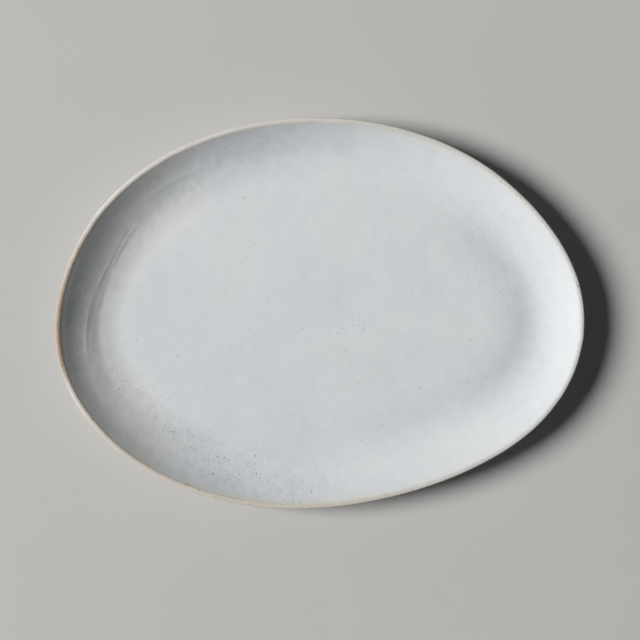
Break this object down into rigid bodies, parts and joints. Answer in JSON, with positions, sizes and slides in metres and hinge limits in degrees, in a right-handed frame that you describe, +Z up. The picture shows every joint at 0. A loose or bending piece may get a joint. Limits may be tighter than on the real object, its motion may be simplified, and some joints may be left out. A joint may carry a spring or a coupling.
{
  "type": "serving platter",
  "caption": "Oval egg-shaped ceramic serving platter with a coved wall, rounded rim and low coil foot, in satin off-white speckled glaze.",
  "frame": {"origin": "at table level, under the middle of the rim's length and width", "axes": "+X along the length towards the narrower end, +Y across the width, +Z up out of the well"},
  "size_m": [0.4068, 0.2997, 0.0304],
  "materials": {
    "stoneware": "fired buff stoneware, under the glaze",
    "bare_clay": "bare toasted stoneware, ground smooth where it stands",
    "white_glaze": "satin off-white reactive glaze with fine iron specks",
    "rim_break": "thin glaze breaking cream to tan over the clay"
  },
  "bodies": {
    "root": {"clay_body": "stoneware", "foot_ring": "bare_clay", "top_glaze": "white_glaze", "underside_glaze": "white_glaze", "base_glaze": "white_glaze", "rim_edge": "rim_break"}
  },
  "joints": []
}
